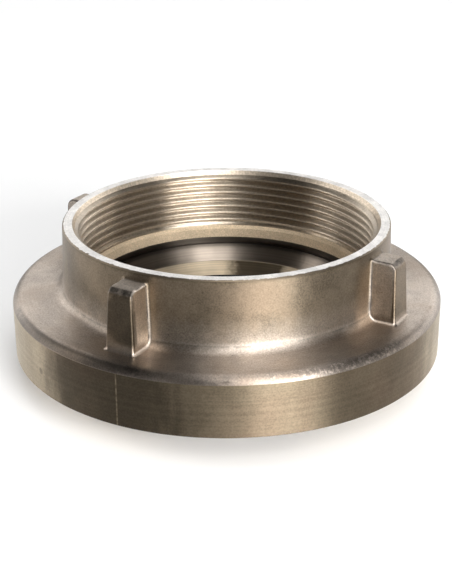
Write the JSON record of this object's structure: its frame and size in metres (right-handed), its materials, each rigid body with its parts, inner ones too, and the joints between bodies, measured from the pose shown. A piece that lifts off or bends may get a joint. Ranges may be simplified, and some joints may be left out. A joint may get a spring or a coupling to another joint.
{
  "type": "quarter-turn hose coupling",
  "caption": "Round fixed half of a quarter-turn claw coupling for a fire hose, with an internally threaded neck, spanner lugs and a rubber face seal.",
  "frame": {"origin": "on the axis of the waterway, in the plane of the claw tips that the part rests on", "axes": "+Z along the waterway from the claws up to the threaded neck, +X through the middle of one claw, +Y through one gap in the lip and away from the viewer of the picture"},
  "size_m": [0.126, 0.126, 0.0467],
  "materials": {
    "coupling_body": "satin",
    "face_seal": "matte"
  },
  "bodies": {
    "root": {"coupling_body": "coupling_body", "face_seal": "face_seal"}
  },
  "joints": []
}
